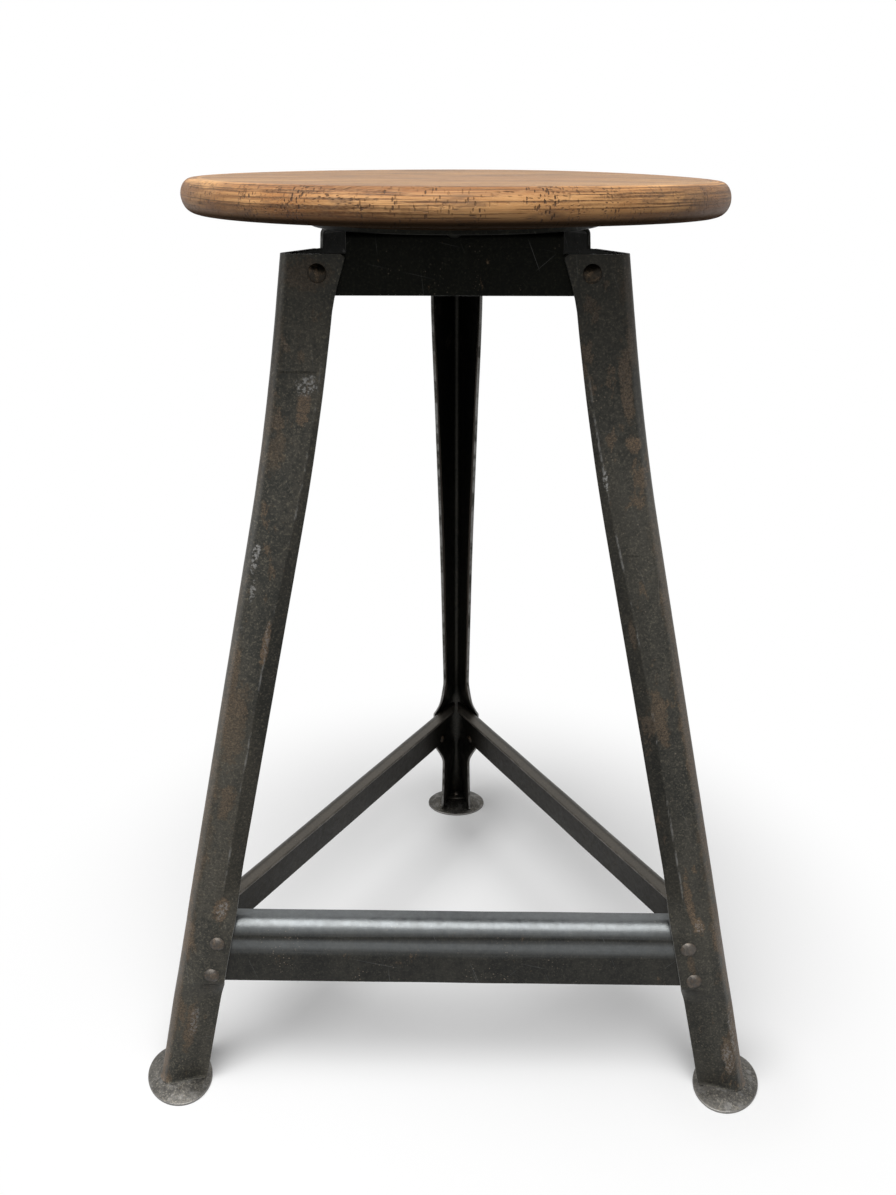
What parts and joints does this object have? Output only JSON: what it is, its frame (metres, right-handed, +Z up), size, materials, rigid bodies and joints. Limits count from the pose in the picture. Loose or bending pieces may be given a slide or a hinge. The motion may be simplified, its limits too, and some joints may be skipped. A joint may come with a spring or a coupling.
{
  "type": "machinist stool",
  "caption": "Backless work stool: round wood seat on three folded steel legs with a riveted triangle of stretchers and oval domed feet.",
  "frame": {"origin": "on the floor, in the middle of the stool's overall width and depth, 49.75 mm behind the upright axis of the seat", "axes": "+Z up, front of the stool (the side with the front stretcher facing the viewer) towards -Y, +X to the viewer's right, rear leg towards +Y"},
  "size_m": [0.4856, 0.4495, 0.6615],
  "materials": {
    "wood": "worn satin varnish, grain left to right",
    "steel": "dark gunmetal patina, brown rust and rubbed bright spots on the folds",
    "rivets": "rusty brown-grey",
    "feet": "worn grey bare steel"
  },
  "bodies": {
    "root": {"seat_board": "wood", "seat_plate": "steel", "seat_screws": "rivets", "apron_flange_rivets": "rivets", "apron_front": "steel", "apron_left": "steel", "apron_right": "steel", "foot_front_left": "feet", "foot_front_right": "feet", "foot_rear": "feet", "foot_rivet_front_left": "rivets", "foot_rivet_front_right": "rivets", "foot_rivet_rear": "rivets", "leg_front_left": "steel", "leg_front_right": "steel", "leg_rear": "steel", "leg_top_rivets_front_left": "rivets", "leg_top_rivets_front_right": "rivets", "leg_top_rivets_rear": "rivets", "stretcher_front": "steel", "stretcher_front_rivets_front_left": "rivets", "stretcher_front_rivets_front_right": "rivets", "stretcher_left": "steel", "stretcher_left_rivets_front_left": "rivets", "stretcher_left_rivets_rear": "rivets", "stretcher_right": "steel", "stretcher_right_rivets_front_right": "rivets", "stretcher_right_rivets_rear": "rivets"}
  },
  "joints": []
}
